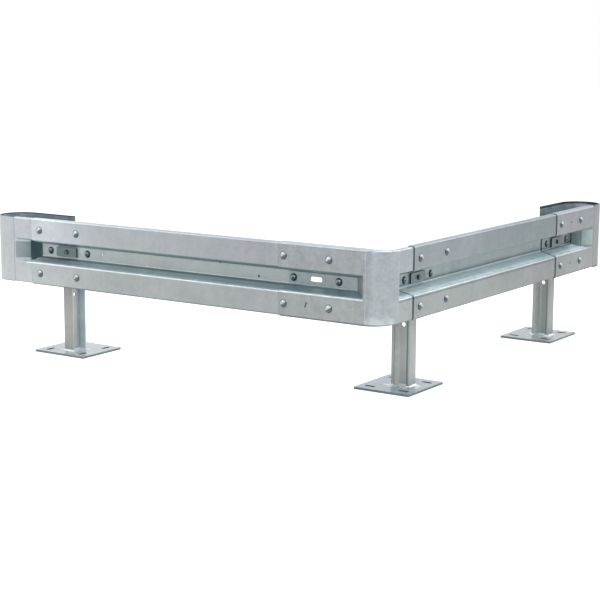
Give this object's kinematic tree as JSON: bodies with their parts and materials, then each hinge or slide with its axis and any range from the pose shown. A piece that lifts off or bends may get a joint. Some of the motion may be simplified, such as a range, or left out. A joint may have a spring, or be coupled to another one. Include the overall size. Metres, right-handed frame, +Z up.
{
  "type": "steel crash barrier",
  "caption": "Free-standing galvanised steel guard rail corner on bolted-down posts, with curled ends that shield machines and walls from vehicles.",
  "frame": {"origin": "on the floor under the middle of the corner base plate", "axes": "+Z up; the right rail runs along +Y; the left rail runs along -X; the impact faces look towards +X and -Y"},
  "size_m": [2.1956, 2.1987, 0.6382],
  "materials": {
    "rail_left_zinc": "hot-dip galvanised, matt with a soft spangle",
    "rail_right_zinc": "hot-dip galvanised, matt with a soft spangle",
    "corner_zinc": "hot-dip galvanised, matt with a soft spangle",
    "end_left_zinc": "hot-dip galvanised, matt with a soft spangle",
    "end_right_zinc": "hot-dip galvanised, matt with a soft spangle",
    "bolt_zinc": "hot-dip galvanised, matt with a soft spangle",
    "washer_zinc": "hot-dip galvanised, matt with a soft spangle",
    "nut_zinc": "hot-dip galvanised, matt with a soft spangle",
    "post_zinc": "hot-dip galvanised, matt with a soft spangle",
    "plate_zinc": "hot-dip galvanised, matt with a soft spangle",
    "weld_zinc": "hot-dip galvanised, matt with a soft spangle",
    "cover_zinc": "hot-dip galvanised, matt with a soft spangle",
    "cover_bolt_zinc": "hot-dip galvanised, matt with a soft spangle"
  },
  "bodies": {
    "root": {"rail_left": "rail_left_zinc", "rail_right": "rail_right_zinc", "corner_piece": "corner_zinc", "end_piece_left": "end_left_zinc", "end_piece_right": "end_right_zinc", "bolts_left_end": "bolt_zinc", "washers_left_end": "washer_zinc", "nuts_left_end": "nut_zinc", "bolts_corner_left": "bolt_zinc", "washers_corner_left": "washer_zinc", "nuts_corner_left": "nut_zinc", "bolts_corner_right": "bolt_zinc", "washers_corner_right": "washer_zinc", "nuts_corner_right": "nut_zinc", "bolts_right_end": "bolt_zinc", "washers_right_end": "washer_zinc", "nuts_right_end": "nut_zinc", "post_left": "post_zinc", "base_plate_left": "plate_zinc", "weld_left": "weld_zinc", "cover_plate_left": "cover_zinc", "cover_bolt_left": "cover_bolt_zinc", "cover_washer_left": "washer_zinc", "cover_nut_left": "nut_zinc", "post_corner": "post_zinc", "base_plate_corner": "plate_zinc", "weld_corner": "weld_zinc", "cover_plate_corner": "cover_zinc", "cover_bolt_corner": "cover_bolt_zinc", "cover_washer_corner": "washer_zinc", "cover_nut_corner": "nut_zinc", "post_right": "post_zinc", "base_plate_right": "plate_zinc", "weld_right": "weld_zinc", "cover_plate_right": "cover_zinc", "cover_bolt_right": "cover_bolt_zinc", "cover_washer_right": "washer_zinc", "cover_nut_right": "nut_zinc"}
  },
  "joints": []
}
